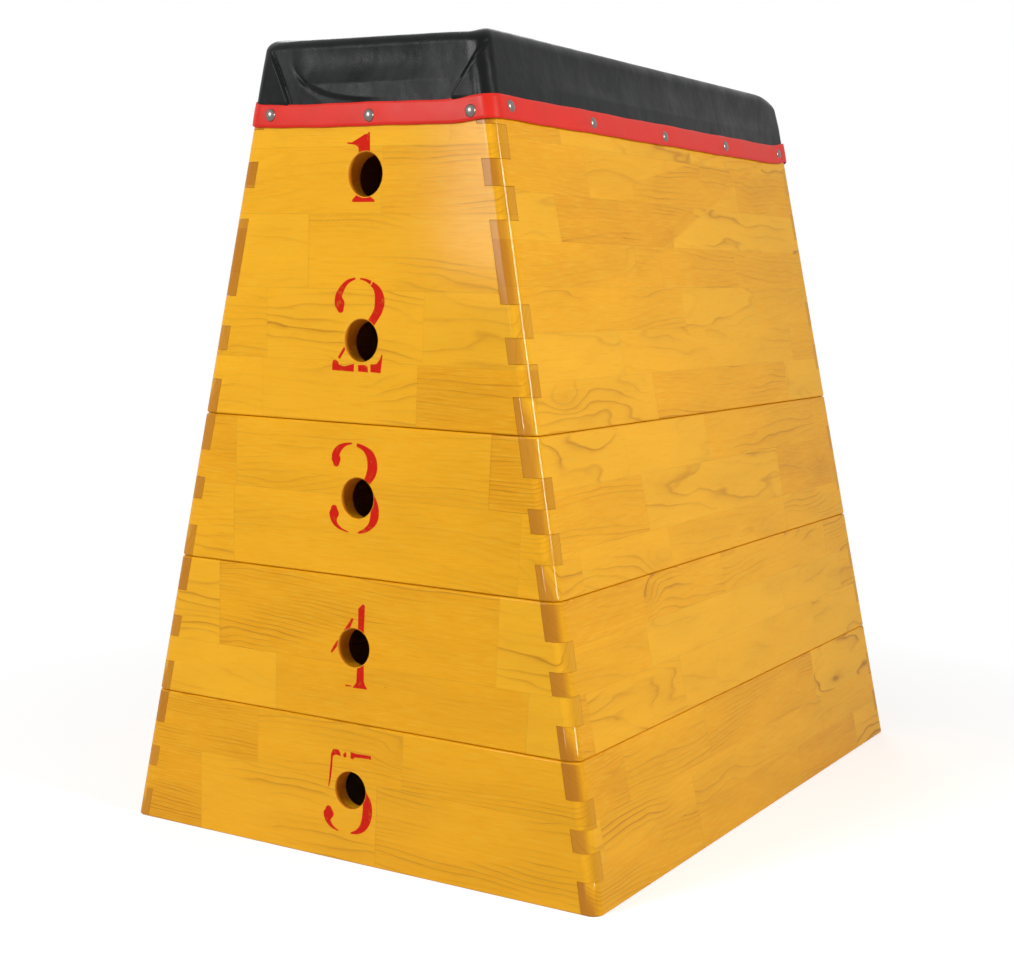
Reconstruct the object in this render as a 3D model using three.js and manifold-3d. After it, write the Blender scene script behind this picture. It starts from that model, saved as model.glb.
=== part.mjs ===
// Vaulting box: three loose tiers and a padded top section, all tapered to one pyramid.
// Millimetres, +Z up, origin on the floor under the middle of the box.
// The front end faces -Y, the back end +Y, and the long sides face +X and -X.

import * as THREE from 'three';
import { mergeVertices } from 'three/addons/utils/BufferGeometryUtils.js';
import Module from 'manifold-3d';

const wasm = await Module();
wasm.setup();

// The pyramid: outside sizes at the floor and at the seam under the top section
const baseWidth = 615;
const baseLength = 825;
const seamWidth = 411;
const seamLength = 735;

// Sections and levels
const tierHeight = 150;
const looseTiers = 3;
const topLevelHeight = 154;
const topLevels = 2;
const seamGap = 0.5;

// Boards
const boardThickness = 19;
const cornerRadius = 13;
const edgeEase = 1.5;
const glueGap = 0.3;
const fingerShares = [0.225, 0.188, 0.151, 0.189, 0.247];
const handHoleDiameter = 40;
const handHoleHeight = 78.5;
const handHoleSpacing = 150;
const handHoleEase = 0.6;

// Corner posts, whose upper ends locate the section above
const postWidth = 28;
const locatorRise = 28;
const locatorClearance = 1.5;
const locatorTaper = 5;
const locatorHeadroom = 8;

// Deck of the top section
const deckThickness = 15;
const cleatWidth = 25;
const cleatHeight = 25;

// Pad, cover and band
const padRise = 42;
const padCrown = 5;
const padEdgeRadius = 12;
const padDrawIn = 4;
const coverThickness = 0.8;
const bandDrop = 15;
const bandHeight = 20.5;
const bandThickness = 1;
const coverTuck = 4;

// Upholstery tacks
const endTacks = 3;
const sideTacks = 5;
const endTackMargin = 25;
const sideTackMargin = 29;
const endTackShift = 3;
const sideTackShift = -3;
const tackHead = 10.5;
const tackRise = 3.2;
const tackShank = 2.4;
const tackShankLength = 14;

// How far a cutting solid runs past what it cuts
const overrun = 20;

// Facets
const cornerSteps = 6;
const padCornerSteps = 4;
const padSideSteps = 6;
const padEdgeSteps = 3;
const padTopRings = 3;
const holeSides = 24;
const tackSides = 8;
const tackDomeSteps = 3;

// Heights and slopes that follow from the sizes above
const topBottom = looseTiers * tierHeight;
const topTop = topBottom + topLevels * topLevelHeight;
const deckBottom = topTop - deckThickness;
const cleatTop = deckBottom - glueGap;
const cleatBottom = cleatTop - cleatHeight;
const sideSlope = (baseWidth - seamWidth) / 2 / topBottom;
const endSlope = (baseLength - seamLength) / 2 / topBottom;
const sideLean = Math.hypot(1, sideSlope);
const endLean = Math.hypot(1, endSlope);

// Depths, measured square to the outer face of a board, into the box
const seatDepth = boardThickness + glueGap;
const postFront = seatDepth + postWidth;
const coverInside = -glueGap;
const coverOutside = coverInside - coverThickness;
const bandInside = coverOutside - glueGap;
const bandOutside = bandInside - bandThickness;

const halfWidth = (z, depth = 0) => baseWidth / 2 - sideSlope * z - depth * sideLean;
const halfLength = (z, depth = 0) => baseLength / 2 - endSlope * z - depth * endLean;

// The four outer faces: the way out of each, and a point on it at a height and a depth
const faces = {
  front: {
    out: new THREE.Vector3(0, -1, endSlope).normalize(),
    point: (along, z) => new THREE.Vector3(along, -halfLength(z), z),
  },
  back: {
    out: new THREE.Vector3(0, 1, endSlope).normalize(),
    point: (along, z) => new THREE.Vector3(-along, halfLength(z), z),
  },
  right: {
    out: new THREE.Vector3(1, 0, sideSlope).normalize(),
    point: (along, z) => new THREE.Vector3(halfWidth(z), along, z),
  },
  left: {
    out: new THREE.Vector3(-1, 0, sideSlope).normalize(),
    point: (along, z) => new THREE.Vector3(-halfWidth(z), -along, z),
  },
};

// Closed solid through loops of equal point counts, capped at both ends or joined end to start
function loft(loops, closed = false) {
  const count = loops[0].length;
  const points = loops.flat();
  const index = [];
  const spans = closed ? loops.length : loops.length - 1;
  for (let j = 0; j < spans; j += 1) {
    const low = j * count;
    const high = ((j + 1) % loops.length) * count;
    for (let i = 0; i < count; i += 1) {
      const next = (i + 1) % count;
      index.push(low + i, low + next, high + next, low + i, high + next, high + i);
    }
  }
  if (!closed) {
    const last = (loops.length - 1) * count;
    for (let i = 1; i < count - 1; i += 1) {
      index.push(0, i + 1, i, last, last + i, last + i + 1);
    }
  }
  const geometry = new THREE.BufferGeometry().setFromPoints(points);
  geometry.setIndex(index);
  return geometry;
}

// Rounded rectangle at one height, its straight sides drawn in between the corners
function roundedLoop(halfX, halfY, z, radius, { steps = cornerSteps, sideSteps = 1, drawIn = 0 } = {}) {
  const corners = [[1, -1], [1, 1], [-1, 1], [-1, -1]];
  const loop = [];
  corners.forEach(([sx, sy], quarter) => {
    const centre = new THREE.Vector3(sx * (halfX - radius), sy * (halfY - radius), z);
    for (let i = 0; i <= steps; i += 1) {
      const angle = (quarter - 1 + i / steps) * Math.PI / 2;
      const spoke = new THREE.Vector3(Math.cos(angle), Math.sin(angle), 0);
      loop.push(centre.clone().addScaledVector(spoke, radius));
    }
    const [nx, ny] = corners[(quarter + 1) % corners.length];
    const start = loop.at(-1);
    const end = new THREE.Vector3(nx * (halfX - radius), ny * (halfY - radius), z);
    const angle = quarter * Math.PI / 2;
    const outward = new THREE.Vector3(Math.cos(angle), Math.sin(angle), 0);
    end.addScaledVector(outward, radius);
    for (let i = 1; i < sideSteps; i += 1) {
      const share = i / sideSteps;
      const pull = drawIn * Math.sin(share * Math.PI);
      loop.push(start.clone().lerp(end, share).addScaledVector(outward, -pull));
    }
  });
  return loop;
}

// Four-cornered loop at one height; the limits may come in either order
function squareLoop(xLimits, yLimits, z) {
  const [x0, x1] = [...xLimits].sort((a, b) => a - b);
  const [y0, y1] = [...yLimits].sort((a, b) => a - b);
  return [[x0, y0], [x1, y0], [x1, y1], [x0, y1]].map(([x, y]) => new THREE.Vector3(x, y, z));
}

// Block whose sides lean with the walls: xLimits and yLimits give its limits at a height
function leaningBlock(bottom, top, xLimits, yLimits) {
  return solid(loft([bottom, top].map((z) => squareLoop(xLimits(z), yLimits(z), z))));
}

// Body turned about local +Y from a profile of [radius, height], bottom to top
function turned(profile, sides) {
  return new THREE.LatheGeometry(profile.map(([r, y]) => new THREE.Vector2(r, y)), sides);
}

// Moves a body that was made along +Y to a face, with +Y pointing out of the box
function placeOnFace(geometry, face, along, z, depth) {
  const { out, point } = faces[face];
  const turn = new THREE.Quaternion().setFromUnitVectors(new THREE.Vector3(0, 1, 0), out);
  const place = point(along, z).addScaledVector(out, -depth);
  return geometry.applyQuaternion(turn).translate(place.x, place.y, place.z);
}

function solid(geometry) {
  geometry.deleteAttribute('normal');
  geometry.deleteAttribute('uv');
  const merged = mergeVertices(geometry);
  return new wasm.Manifold(new wasm.Mesh({
    numProp: 3,
    vertProperties: merged.attributes.position.array,
    triVerts: Uint32Array.from(merged.index.array),
  }));
}

const joined = (solids) => solids.reduce((all, one) => all.add(one));
const cutBy = (body, cutters) => cutters.reduce((rest, cutter) => rest.subtract(cutter), body);

const finishes = {
  lacqueredWood: { color: 0xe8a92c, roughness: 0.32, metalness: 0 },
  plainWood: { color: 0xcf9d5a, roughness: 0.6, metalness: 0 },
  plywood: { color: 0xc9a06a, roughness: 0.65, metalness: 0 },
  foam: { color: 0xd9d2b8, roughness: 0.95, metalness: 0 },
  blackVinyl: { color: 0x2c2d2e, roughness: 0.42, metalness: 0 },
  redVinyl: { color: 0xe2362b, roughness: 0.45, metalness: 0 },
  chrome: { color: 0xd8d8da, roughness: 0.15, metalness: 1 },
};

const box = new THREE.Group();

function addPiece(name, body, finish) {
  const { numProp, vertProperties, triVerts } = body.getMesh();
  const geometry = new THREE.BufferGeometry();
  geometry.setAttribute('position', new THREE.BufferAttribute(vertProperties, numProp));
  geometry.setIndex(new THREE.BufferAttribute(triVerts, 1));
  geometry.computeVertexNormals();
  const mesh = new THREE.Mesh(geometry, new THREE.MeshStandardMaterial(finishes[finish]));
  mesh.name = name;
  box.add(mesh);
}

// A tack along +Y with its head's flat at zero; grow makes the hole for its shank
function tack(grow = 0) {
  const shank = tackShank / 2 + grow;
  const point = [[0, -tackShankLength - grow], [shank, -tackShankLength + tackShank - grow]];
  if (grow > 0) return turned([...point, [shank, overrun], [0, overrun]], tackSides);
  const dome = Array.from({ length: tackDomeSteps + 1 }, (_, i) => {
    const angle = i / tackDomeSteps * Math.PI / 2;
    return [tackHead / 2 * Math.cos(angle), tackRise * Math.sin(angle)];
  });
  dome.at(-1)[0] = 0;
  return turned([...point, [shank, 0], ...dome], tackSides);
}

// Where each tack sits: face, place along it, height and number in its row
const tackHeight = topTop - bandDrop - bandHeight / 2;
const tackRow = (count, reach, shift) => Array.from({ length: count }, (_, i) => (
  (2 * i / (count - 1) - 1) * reach + shift));
const endTackPlaces = tackRow(endTacks, halfWidth(tackHeight) - endTackMargin, endTackShift);
const sideTackPlaces = tackRow(sideTacks, halfLength(tackHeight) - sideTackMargin, sideTackShift);
const tackPlaces = Object.keys(faces).flatMap((face) => {
  const row = face === 'front' || face === 'back' ? endTackPlaces : sideTackPlaces;
  return row.map((along, i) => [face, along, tackHeight, i + 1]);
});
const tackSeat = bandOutside - glueGap;
const tackHoles = tackPlaces.map(([face, along, z]) => (
  solid(placeOnFace(tack(glueGap), face, along, z, tackSeat))));

// Sections, from the floor up: each with its levels and the height where its posts end
const looseSections = Array.from({ length: looseTiers }, (_, i) => ({
  name: `tier_${looseTiers + topLevels - i}`,
  bottom: i * tierHeight,
  top: (i + 1) * tierHeight,
  levelHeight: tierHeight,
  levels: 1,
  locates: true,
}));
const topSection = {
  name: 'top',
  bottom: topBottom,
  top: topTop,
  levelHeight: topLevelHeight,
  levels: topLevels,
  locates: false,
};
const sections = [...looseSections, topSection];

// Heights of the end boards' fingers, two in each level
function endFingerSpans({ bottom, levelHeight, levels }) {
  const spans = [];
  for (let level = 0; level < levels; level += 1) {
    let z = bottom + level * levelHeight;
    fingerShares.forEach((share, i) => {
      const next = z + share * levelHeight;
      if (i % 2 === 1) spans.push([z, next]);
      z = next;
    });
  }
  return spans;
}

// Heights that are left for the side boards' fingers
function sideFingerSpans(section) {
  const ends = endFingerSpans(section).flat();
  const all = [section.bottom - overrun, ...ends, section.top + overrun];
  return Array.from({ length: all.length / 2 }, (_, i) => [all[2 * i], all[2 * i + 1]]);
}

// Outer form of a section, with its upper and lower edges eased
function sectionForm({ bottom, top }) {
  const floor = bottom + (bottom > 0 ? seamGap / 2 : 0);
  const ceiling = top - (top < topTop ? seamGap / 2 : 0);
  const ring = (z, ease) => roundedLoop(halfWidth(z) - ease, halfLength(z) - ease, z, cornerRadius - ease);
  return solid(loft([ring(floor, edgeEase), ring(floor + edgeEase, 0), ring(ceiling - edgeEase, 0),
    ring(ceiling, edgeEase)]));
}

// Core between the other two boards, plus the fingers that reach out past it
function boardRegion(section, core, fingerSpans, far) {
  const fingers = fingerSpans.map(([low, high]) => (
    leaningBlock(low + glueGap / 2, high - glueGap / 2, far.x, far.y)));
  return joined([core, ...fingers]);
}

const outX = (z) => [-halfWidth(z) - overrun, halfWidth(z) + overrun];
const outY = (z) => [-halfLength(z) - overrun, halfLength(z) + overrun];
const withinX = (depth) => (z) => [-halfWidth(z, depth), halfWidth(z, depth)];
const withinY = (depth) => (z) => [-halfLength(z, depth), halfLength(z, depth)];

function endBoard(section, sign) {
  const [low, high] = [section.bottom - overrun, section.top + overrun];
  const half = (z) => [0, sign * (halfLength(z) + overrun)];
  const core = leaningBlock(low, high, withinX(seatDepth), half);
  const region = boardRegion(section, core, endFingerSpans(section), { x: outX, y: half });
  const inside = leaningBlock(low, high, outX, withinY(boardThickness));
  return sectionForm(section).intersect(region).subtract(inside);
}

function sideBoard(section, sign) {
  const [low, high] = [section.bottom - overrun, section.top + overrun];
  const half = (z) => [0, sign * (halfWidth(z) + overrun)];
  const core = leaningBlock(low, high, half, withinY(seatDepth));
  const region = boardRegion(section, core, sideFingerSpans(section), { x: half, y: outY });
  const inside = leaningBlock(low, high, withinX(boardThickness), outY);
  return sectionForm(section).intersect(region).subtract(inside);
}

// Hand holes, with both their edges eased: one for each level, evenly spaced up the box
function handHoles({ bottom, levels }, face) {
  const radius = handHoleDiameter / 2;
  const flare = radius + handHoleEase + overrun;
  const inner = [[0, -boardThickness - overrun], [flare, -boardThickness - overrun]];
  const bore = [[radius, -boardThickness + handHoleEase], [radius, -handHoleEase]];
  const profile = [...inner, ...bore, [flare, overrun], [0, overrun]];
  return Array.from({ length: levels }, (_, level) => {
    const z = bottom + level * handHoleSpacing + handHoleHeight;
    return solid(placeOnFace(turned(profile, holeSides), face, 0, z, 0));
  });
}

// Post heights: foot above the locator below, body to the section's edge, then its own locator
function postHeights(section) {
  const foot = section.bottom + locatorRise + locatorHeadroom;
  const shoulder = section.locates ? section.top - seamGap / 2 : cleatTop;
  return { foot, shoulder, tip: shoulder + locatorRise };
}

function cornerPost(section, sx, sy) {
  const { foot, shoulder, tip } = postHeights(section);
  const ring = (z, back, front) => squareLoop(
    [sx * halfWidth(z, seatDepth + back), sx * halfWidth(z, postFront - front)],
    [sy * halfLength(z, seatDepth + back), sy * halfLength(z, postFront - front)],
    z,
  );
  const rings = [ring(foot, 0, 0), ring(shoulder, 0, 0)];
  if (section.locates) {
    const bare = locatorClearance + locatorTaper;
    rings.push(ring(shoulder, locatorClearance, 0), ring(tip - locatorTaper, locatorClearance, 0));
    rings.push(ring(tip, bare, locatorTaper));
  }
  return solid(loft(rings));
}

function addSection(section) {
  const tackCuts = section === topSection ? tackHoles : [];
  const addBoard = (side, board, holes) => {
    addPiece(`${section.name}_${side}_board`, cutBy(board, [...tackCuts, ...holes]), 'lacqueredWood');
  };
  addBoard('front', endBoard(section, -1), handHoles(section, 'front'));
  addBoard('back', endBoard(section, 1), handHoles(section, 'back'));
  addBoard('left', sideBoard(section, -1), []);
  addBoard('right', sideBoard(section, 1), []);
  [['front', -1], ['back', 1]].forEach(([end, sy]) => {
    [['left', -1], ['right', 1]].forEach(([side, sx]) => {
      addPiece(`${section.name}_post_${end}_${side}`, cornerPost(section, sx, sy), 'plainWood');
    });
  });
}

// Deck let in between the boards, on long cleats along the sides and short ones along the ends
function addDeck() {
  const cleatFront = seatDepth + cleatWidth;
  const pastPost = postFront + glueGap;
  addPiece('deck_panel', leaningBlock(deckBottom, topTop, withinX(seatDepth), withinY(seatDepth)), 'plywood');
  [['left', -1], ['right', 1]].forEach(([side, sign]) => {
    const across = (z) => [sign * halfWidth(z, seatDepth), sign * halfWidth(z, cleatFront)];
    const cleat = leaningBlock(cleatBottom, cleatTop, across, withinY(pastPost));
    addPiece(`deck_cleat_${side}`, cleat, 'plainWood');
  });
  [['front', -1], ['back', 1]].forEach(([end, sign]) => {
    const across = (z) => [sign * halfLength(z, seatDepth), sign * halfLength(z, cleatFront)];
    const cleat = leaningBlock(cleatBottom, cleatTop, withinX(pastPost), across);
    addPiece(`deck_cleat_${end}`, cleat, 'plainWood');
  });
}

// One loop of the pad's skin, inset from its outer face, and lying skin below it
function padLoop(z, inset, skin, drawIn) {
  const depth = coverOutside + skin;
  const shape = { steps: padCornerSteps, sideSteps: padSideSteps, drawIn };
  const [halfX, halfY] = [halfWidth(z, depth) - inset, halfLength(z, depth) - inset];
  return roundedLoop(halfX, halfY, z, cornerRadius - depth, shape);
}

// Loops of a pad surface from its lower edge up over the rounded rim to the crown
function padLoops(bottom, skin) {
  const padTop = topTop + padRise;
  const rimStart = padTop - padEdgeRadius;
  const loops = [padLoop(bottom, 0, skin, 0), padLoop(topTop + glueGap, 0, skin, 0)];
  loops.push(padLoop((topTop + rimStart) / 2, 0, skin, padDrawIn));
  const bend = padEdgeRadius - skin;
  for (let i = 0; i <= padEdgeSteps; i += 1) {
    const angle = i / padEdgeSteps * Math.PI / 2;
    const inset = bend * (1 - Math.cos(angle));
    const drawIn = padDrawIn / 2 * Math.cos(angle);
    loops.push(padLoop(rimStart + bend * Math.sin(angle), inset, skin, drawIn));
  }
  const depth = coverOutside + skin;
  const crownWidth = 2 * (cornerRadius - depth);
  const reach = halfWidth(padTop, depth) - bend - crownWidth;
  for (let i = 1; i <= padTopRings; i += 1) {
    const share = i / padTopRings;
    const rise = padCrown * (1 - (1 - share) ** 2);
    const z = padTop - skin + rise;
    const flat = padLoop(padTop, bend + reach * share, skin, 0);
    loops.push(flat.map((point) => point.setZ(z)));
  }
  return loops;
}

function addPad() {
  const foamSkin = coverThickness + glueGap;
  const skirtBottom = topTop - bandDrop - bandHeight + coverTuck;
  const outer = solid(loft(padLoops(skirtBottom, 0)));
  const inner = solid(loft(padLoops(skirtBottom - overrun, coverThickness)));
  const foam = padLoops(skirtBottom, foamSkin).slice(1);
  addPiece('pad_foam', solid(loft(foam)), 'foam');
  addPiece('pad_cover', cutBy(outer, [inner, ...tackHoles]), 'blackVinyl');
}

function addBand() {
  const top = topTop - bandDrop;
  const bottom = top - bandHeight;
  const ring = (z, depth) => roundedLoop(halfWidth(z, depth), halfLength(z, depth), z, cornerRadius - depth);
  const outer = [ring(bottom, bandOutside), ring(top, bandOutside)];
  const inner = [ring(top, bandInside), ring(bottom, bandInside)];
  addPiece('edge_band', cutBy(solid(loft([...outer, ...inner], true)), tackHoles), 'redVinyl');
}

function addTacks() {
  tackPlaces.forEach(([face, along, z, number]) => {
    addPiece(`tack_${face}_${number}`, solid(placeOnFace(tack(), face, along, z, tackSeat)), 'chrome');
  });
}

sections.forEach(addSection);
addDeck();
addPad();
addBand();
addTacks();

export default box;
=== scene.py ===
import math
from functools import partial

import bmesh
import bpy
import numpy as np
from mathutils import Matrix, Vector


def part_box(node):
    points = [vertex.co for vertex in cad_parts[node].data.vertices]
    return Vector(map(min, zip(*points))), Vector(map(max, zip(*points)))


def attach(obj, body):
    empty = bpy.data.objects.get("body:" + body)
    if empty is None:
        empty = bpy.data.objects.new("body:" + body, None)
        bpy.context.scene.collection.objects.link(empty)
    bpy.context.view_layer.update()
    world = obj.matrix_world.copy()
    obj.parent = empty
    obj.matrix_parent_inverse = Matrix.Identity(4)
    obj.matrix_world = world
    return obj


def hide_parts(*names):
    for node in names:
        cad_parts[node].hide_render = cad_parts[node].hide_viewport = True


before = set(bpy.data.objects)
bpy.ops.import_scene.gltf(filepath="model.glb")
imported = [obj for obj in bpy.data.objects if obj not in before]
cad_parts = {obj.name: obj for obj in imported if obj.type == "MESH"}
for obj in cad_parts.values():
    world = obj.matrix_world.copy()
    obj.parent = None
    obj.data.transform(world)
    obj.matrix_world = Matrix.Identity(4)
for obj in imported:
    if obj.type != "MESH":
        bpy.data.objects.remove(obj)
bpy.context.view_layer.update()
print("frame loaded:", len(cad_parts), "nodes")

mm = 0.001
ends = ("front", "back")
sides = ("left", "right")

# The box is one pyramid: outside sizes at the floor and at the seam under the top section
taper = {"baseWidth": 615 * mm, "baseLength": 825 * mm, "seamWidth": 411 * mm, "seamLength": 735 * mm,
         "seamHeight": 450 * mm}
sideSlope = (taper["baseWidth"] - taper["seamWidth"]) / 2 / taper["seamHeight"]
endSlope = (taper["baseLength"] - taper["seamLength"]) / 2 / taper["seamHeight"]
sideLean = math.hypot(1, sideSlope)
endLean = math.hypot(1, endSlope)


def halfWidth(z, out=0):
    return taper["baseWidth"] / 2 - sideSlope * z + out * sideLean


def halfLength(z, out=0):
    return taper["baseLength"] / 2 - endSlope * z + out * endLean


handHole = {"height": 78.5 * mm, "spacing": 150 * mm, "radius": 20 * mm, "ease": 0.6 * mm, "margin": 0.3 * mm}
sectionBodies = {"tier_5": "tier_5", "tier_4": "tier_4", "tier_3": "tier_3", "top": "top_section"}
sectionSpans = {}
for section in sectionBodies:
    low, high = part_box(f"{section}_front_board")
    sectionSpans[section] = (low.z, high.z)


def addObject(name, data):
    item = bpy.data.objects.new(name, data)
    bpy.context.collection.objects.link(item)
    return item


# Camera and light

def addCamera():
    shot = {
        "place": (1.0056, -1.6819, 0.5946),
        "turnDegrees": 28.661,
        "tiltDegrees": 68.993,
        "rollDegrees": 1.195,
        "lens": 56.388,
        "shift": (-0.09469, 0.39641),
    }
    camera = addObject("camera", bpy.data.cameras.new("camera"))
    turn = Matrix.Rotation(math.radians(shot["turnDegrees"]), 4, "Z")
    tilt = Matrix.Rotation(math.radians(shot["tiltDegrees"]), 4, "X")
    roll = Matrix.Rotation(math.radians(shot["rollDegrees"]), 4, "Z")
    camera.matrix_world = Matrix.Translation(shot["place"]) @ turn @ tilt @ roll
    camera.data.lens = shot["lens"]
    camera.data.shift_x, camera.data.shift_y = shot["shift"]
    camera.data.clip_end = 100
    bpy.context.scene.camera = camera


def addLamp(name, place, target, size, power, colour):
    lamp = addObject(name, bpy.data.lights.new(name, "AREA"))
    lamp.data.shape = "RECTANGLE"
    lamp.data.size, lamp.data.size_y = size
    lamp.data.energy = power
    lamp.data.color = colour
    lamp.location = place
    lamp.rotation_euler = (Vector(target) - Vector(place)).to_track_quat("-Z", "Y").to_euler()


# Materials

def linear(code):
    channels = [int(code[i:i + 2], 16) / 255 for i in (1, 3, 5)]
    return tuple(c / 12.92 if c <= 0.04045 else ((c + 0.055) / 1.055) ** 2.4 for c in channels) + (1,)


def addNode(tree, kind, *inputs, **settings):
    # An operation may stand after the kind; inputs go to the shown sockets in order, or by name
    kind, _, operation = kind.partition(" ")
    node = tree.nodes.new(kind if "Node" in kind else f"ShaderNode{kind}")
    if operation:
        node.operation = operation
    for name, value in settings.items():
        setattr(node, name, value)
    shown = [socket for socket in node.inputs if socket.enabled]
    links = []
    for place, given in enumerate(inputs):
        if isinstance(given, dict):
            links += [(next(s for s in shown if s.name == name), value) for name, value in given.items()]
        else:
            links.append((shown[place], given))
    for socket, given in links:
        for value in given if isinstance(given, list) else [given]:
            if isinstance(value, bpy.types.Node):
                value = next(output for output in value.outputs if output.enabled)
            if isinstance(value, bpy.types.NodeSocket):
                tree.links.new(value, socket)
            else:
                socket.default_value = value
    return node


def newMaterial(name):
    # The new material, and addNode for its own tree
    material = bpy.data.materials.new(name)
    material.use_nodes = True
    material.node_tree.nodes.clear()
    return material, partial(addNode, material.node_tree)


def setRamp(node, stops):
    elements = node.color_ramp.elements
    while len(elements) < len(stops):
        elements.new(1)
    for element, (place, colour) in zip(elements, stops):
        element.position = place
        element.color = linear(colour) if isinstance(colour, str) else (colour, colour, colour, 1)
    return node


# Stave panels: narrow strips glued edge to edge and butted end to end
staves = {
    "length": 270 * mm,
    "ringSpacing": 4.8 * mm,
    "ringShade": ((0, 0.0), (0.5, 0.03), (0.74, 0.3), (0.86, 1), (0.93, 0.35), (1, 0.0)),
    "swing": 40 * mm,
    "knotBulge": 13 * mm,
    "speckSpacing": 60 * mm,
    "speckRadius": 1.1 * mm,
    "fibreWidth": 1.2 * mm,
    "fibreLength": 22 * mm,
    "tones": ((0.0, "#f3b21e"), (0.35, "#f0ac14"), (0.7, "#eda70c"), (1.0, "#e79f08")),
    "paleColour": "#f5bc30",
    "ringColour": "#a9620a",
    "endRingColour": "#9a5a10",
    # Painted shade in the hand-hole bores: the depth over which it darkens, and its tones from the rim to
    # near black
    "boreShadeDepth": 13 * mm,
    "boreShadeTones": ((0.0, "#d27f1a"), (0.3, "#7a3b0b"), (0.8, "#210e04")),
}


def staveFigure(add, axes, faceHalf, faceSlope, endTones, bored):
    # Map ranges are given as value, from low, from high, to low, to high
    parts = add("SeparateXYZ", add("TexCoord").outputs["Object"]).outputs
    along, across, depth = (parts[axis] for axis in axes)
    seed = add("Attribute", attribute_name="boardSeed").outputs["Fac"]
    span = add("Attribute", attribute_name="boardSpan").outputs["Vector"]
    base, height, rows = add("SeparateXYZ", span).outputs

    # Depth below the leaning outer face
    lean = add("Math MULTIPLY_ADD", across, faceSlope, faceHalf)
    below = add("Math SUBTRACT", add("Math ABSOLUTE", depth), lean)

    # Strips of uneven height, whole ones between the board's edges
    rise = add("Math SUBTRACT", across, base)
    share = add("Math DIVIDE", rise, height)
    sway = add("Math SINE", add("Math MULTIPLY_ADD", share, 2 * math.pi, seed))
    sway = add("Math SUBTRACT", sway, add("Math SINE", seed))
    strip = add("Math MULTIPLY_ADD", sway, 0.1, add("Math MULTIPLY", share, rows))
    row = add("Math FLOOR", strip)
    rowRandom = add("TexWhiteNoise", add("CombineXYZ", row, seed))

    # Butt joints at uneven places along each strip
    run = add("Math MULTIPLY_ADD", rowRandom, 7, 20)
    run = add("Math MULTIPLY_ADD", along, 1 / staves["length"], run)
    drift = add("Math SINE", add("Math MULTIPLY", run, 2.3))
    run = add("Math MULTIPLY_ADD", drift, 0.2, run)
    stave = add("TexWhiteNoise", add("CombineXYZ", row, add("Math FLOOR", run), seed))
    tone, random = stave.outputs
    chance = add("SeparateColor", random).outputs

    # Growth rings are the contours of a slow swell: they run along the stave and close in arches
    shift = add("VectorMath MULTIPLY", random, (9, 9, 9))
    spread = add("CombineXYZ", along, across, below)
    slow = add("VectorMath MULTIPLY_ADD", spread, (4.2, 16, 9), shift)
    swell = add("TexNoise", slow, 1, 3.2, 0.42)
    steep = add("Math MULTIPLY_ADD", chance[0], 1.0, 0.4)
    slant = add("Math MULTIPLY_ADD", chance[2], 0.08, -0.04)
    reach = add("Math MULTIPLY_ADD", across, steep, add("Math MULTIPLY", along, slant))
    reach = add("Math MULTIPLY_ADD", below, 0.7, reach)
    reach = add("Math MULTIPLY_ADD", swell, staves["swing"], reach)

    # The rings swing round small knots that mostly stay hidden
    knots = add("TexVoronoi", add("VectorMath MULTIPLY_ADD", spread, (6.5, 15, 9), shift), 1)
    knot = add("MapRange", knots, 0, 0.36, 1, 0, interpolation_type="SMOOTHSTEP")
    rare = add("Math GREATER_THAN", add("SeparateColor", knots.outputs["Color"]), 0.66)
    knot = add("Math MULTIPLY", knot, rare)
    reach = add("Math MULTIPLY_ADD", knot, staves["knotBulge"], reach)
    count = add("Math MULTIPLY", reach, 1 / staves["ringSpacing"])
    ring = setRamp(add("ValToRGB", add("Math FRACT", count)), staves["ringShade"])
    which = add("TexWhiteNoise", add("CombineXYZ", add("Math FLOOR", count), tone, seed))
    ring = add("Math MULTIPLY", ring, add("MapRange", which, 0.15, 1, 0.25, 1))

    # Pin knots, no more than dark specks
    specks = add("TexVoronoi", spread, 1 / staves["speckSpacing"])
    size = staves["speckRadius"] / staves["speckSpacing"]
    rare = add("Math GREATER_THAN", add("SeparateColor", specks.outputs["Color"]), 0.6)
    speck = add("Math MULTIPLY", add("MapRange", specks, 0.4 * size, size, 0.8, 0), rare)

    # Fibres and pores, drawn out along the strip
    fine = (1 / staves["fibreLength"], 1 / staves["fibreWidth"], 1 / staves["fibreWidth"])
    fibre = add("TexNoise", add("VectorMath MULTIPLY_ADD", spread, fine, shift), 1, 2, 0.6)

    # Face colour: tone of the stave, then rings, fibres, knots and specks
    patch = add("TexNoise", slow, 1.6, 1)
    strength = add("MapRange", chance[1], 0.15, 0.7, 0.26, 0.85)
    strength = add("Math MULTIPLY", strength, add("MapRange", patch, 0.42, 0.58, 0.15, 1))
    strength = add("Math MULTIPLY", strength, ring)
    strength = add("Math ADD", strength, add("MapRange", fibre, 0.54, 0.72, 0, 0.2))
    strength = add("Math MULTIPLY_ADD", knot, 0.16, strength)
    strength = add("Math MAXIMUM", strength, speck)
    face = setRamp(add("ValToRGB", tone), staves["tones"])
    pale = add("MapRange", fibre, 0.5, 0.3, 0, 0.7)
    face = add("Mix", pale, face, linear(staves["paleColour"]), data_type="RGBA")
    face = add("Mix", strength, face, linear(staves["ringColour"]), data_type="RGBA")
    shade = add("MapRange", fibre, 0.3, 0.7, 0.95, 1.03)
    shade = add("Math MULTIPLY", shade, add("MapRange", patch, 0.3, 0.7, 1.04, 0.95))
    face = add("VectorMath MULTIPLY", face, shade)

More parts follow.
